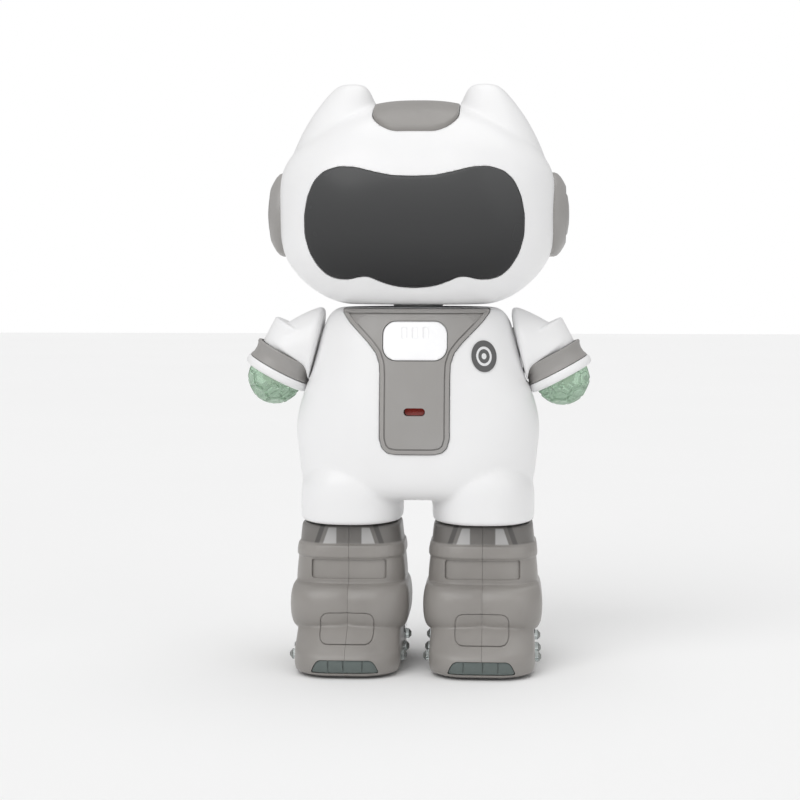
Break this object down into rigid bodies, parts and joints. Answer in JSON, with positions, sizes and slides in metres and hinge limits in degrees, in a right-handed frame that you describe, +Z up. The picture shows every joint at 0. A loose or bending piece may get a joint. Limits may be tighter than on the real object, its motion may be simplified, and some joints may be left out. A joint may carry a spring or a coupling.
{
  "type": "toy robot",
  "caption": "Standing toy robot with cat ears, a dark visor, turning head, swinging arms with light-up ball hands and motor wheels hidden in its boots.",
  "frame": {"origin": "on the floor, at the centre of the toy's box in plan", "axes": "+Z up, the face looks along -Y, +X is the robot's own left"},
  "size_m": [0.1146, 0.068, 0.1885],
  "materials": {
    "white_shell": "satin white moulded shell",
    "grey_trim": "satin warm grey moulded trim",
    "boot_plastic": "warm grey, slightly see-through moulded plastic",
    "sole_plastic": "fine-textured warm grey plastic",
    "visor_gloss": "polished dark grey plastic",
    "light_window": "white light diffuser",
    "red_lens": "red receiver lens",
    "badge": "dark grey printed badge",
    "clear_green": "pale green clear plastic with facets",
    "clear_smoke": "dark green tinted clear plastic",
    "clear_stud": "clear plastic",
    "circuit_board": "green circuit board with parts",
    "light_emitter": "small light emitting diodes",
    "inner_plastic": "natural moulded plastic, unseen inside",
    "black_part": "black moulded plastic",
    "steel": "zinc plated steel",
    "cell_jacket": "plain jacket of a dry cell",
    "wheel_rubber": "black rubber"
  },
  "bodies": {
    "torso": {"torso_front_shell": "white_shell", "torso_rear_shell": "white_shell", "chest_panel": "grey_trim", "boot_outer_shell_left": "boot_plastic", "boot_outer_shell_right": "boot_plastic", "boot_inner_shell_left": "boot_plastic", "boot_inner_shell_right": "boot_plastic", "sole_plate_left": "sole_plastic", "sole_plate_right": "sole_plastic", "chest_window": "light_window", "chest_sensor": "red_lens", "chest_badge": "badge", "toe_window_left": "clear_smoke", "toe_window_right": "clear_smoke", "heel_light_band_left": "clear_stud", "heel_light_band_right": "clear_stud", "side_studs": "clear_stud", "glide_studs": "clear_stud", "main_board": "circuit_board", "foot_light_boards": "circuit_board", "battery_case": "inner_plastic", "switch_housing": "black_part", "torso_screws": "steel", "boot_screws": "steel", "battery_contacts": "steel", "foot_motors": "steel", "battery_cells": "cell_jacket"},
    "head": {"head_front_shell": "white_shell", "head_rear_shell": "white_shell", "visor": "visor_gloss", "face_light_box": "inner_plastic", "face_board": "circuit_board", "face_lights": "light_emitter", "side_cover_left": "grey_trim", "side_cover_right": "grey_trim", "neck_post": "inner_plastic", "head_screws": "steel", "switch_bridge": "inner_plastic", "button_switch": "black_part", "speaker": "black_part"},
    "top_button": {"top_button": "grey_trim"},
    "battery_door": {"battery_door": "white_shell", "door_screw": "steel"},
    "power_switch": {"switch_knob": "black_part"},
    "arm_left": {"sleeve_left": "white_shell", "cuff_band_left": "grey_trim", "hand_left": "clear_green", "hand_light_left": "light_emitter", "shoulder_hub_left": "inner_plastic"},
    "wheel_left": {"wheel_hub_left": "inner_plastic", "wheel_tyre_left": "wheel_rubber"},
    "pinion_left": {"motor_pinion_left": "inner_plastic"},
    "arm_right": {"sleeve_right": "white_shell", "cuff_band_right": "grey_trim", "hand_right": "clear_green", "hand_light_right": "light_emitter", "shoulder_hub_right": "inner_plastic"},
    "wheel_right": {"wheel_hub_right": "inner_plastic", "wheel_tyre_right": "wheel_rubber"},
    "pinion_right": {"motor_pinion_right": "inner_plastic"}
  },
  "joints": [
    {"name": "head_turn", "type": "hinge", "parent": "torso", "child": "head", "pos_m": [0, 0, 0.1172], "axis": [0, 0, 1], "range_deg": [-45, 45]},
    {"name": "button_press", "type": "slide", "parent": "head", "child": "top_button", "axis": [0, 0, -1], "range_m": [0, 0.0015], "stiffness_N_per_m": 600, "springref_m": -0.0005},
    {"name": "switch_slide", "type": "slide", "parent": "torso", "child": "power_switch", "axis": [1, 0, 0], "range_m": [0, 0.0036]},
    {"name": "battery_door_lift", "type": "slide", "parent": "torso", "child": "battery_door", "axis": [0, 1, 0], "range_m": [0, 0.02]},
    {"name": "arm_swing_left", "type": "hinge", "parent": "torso", "child": "arm_left", "pos_m": [0.03164, 0, 0.1059], "axis": [-0.9659, 0, -0.2588], "range_deg": [-60, 90]},
    {"name": "wheel_spin_left", "type": "hinge", "parent": "torso", "child": "wheel_left", "pos_m": [0.0296, 0.008, 0.0085], "axis": [1, 0, 0], "continuous": true},
    {"name": "pinion_spin_left", "type": "hinge", "parent": "torso", "child": "pinion_left", "pos_m": [0.0215, 0.008, 0.01742], "axis": [1, 0, 0], "continuous": true},
    {"name": "arm_swing_right", "type": "hinge", "parent": "torso", "child": "arm_right", "pos_m": [-0.03164, 0, 0.1059], "axis": [-0.9659, 0, 0.2588], "range_deg": [-60, 90]},
    {"name": "wheel_spin_right", "type": "hinge", "parent": "torso", "child": "wheel_right", "pos_m": [-0.0296, 0.008, 0.0085], "axis": [1, 0, 0], "continuous": true},
    {"name": "pinion_spin_right", "type": "hinge", "parent": "torso", "child": "pinion_right", "pos_m": [-0.0215, 0.008, 0.01742], "axis": [1, 0, 0], "continuous": true}
  ],
  "couplings": [
    {"joint": "pinion_spin_left", "follows": "wheel_spin_left", "ratio": -1.75},
    {"joint": "pinion_spin_right", "follows": "wheel_spin_right", "ratio": -1.75}
  ]
}
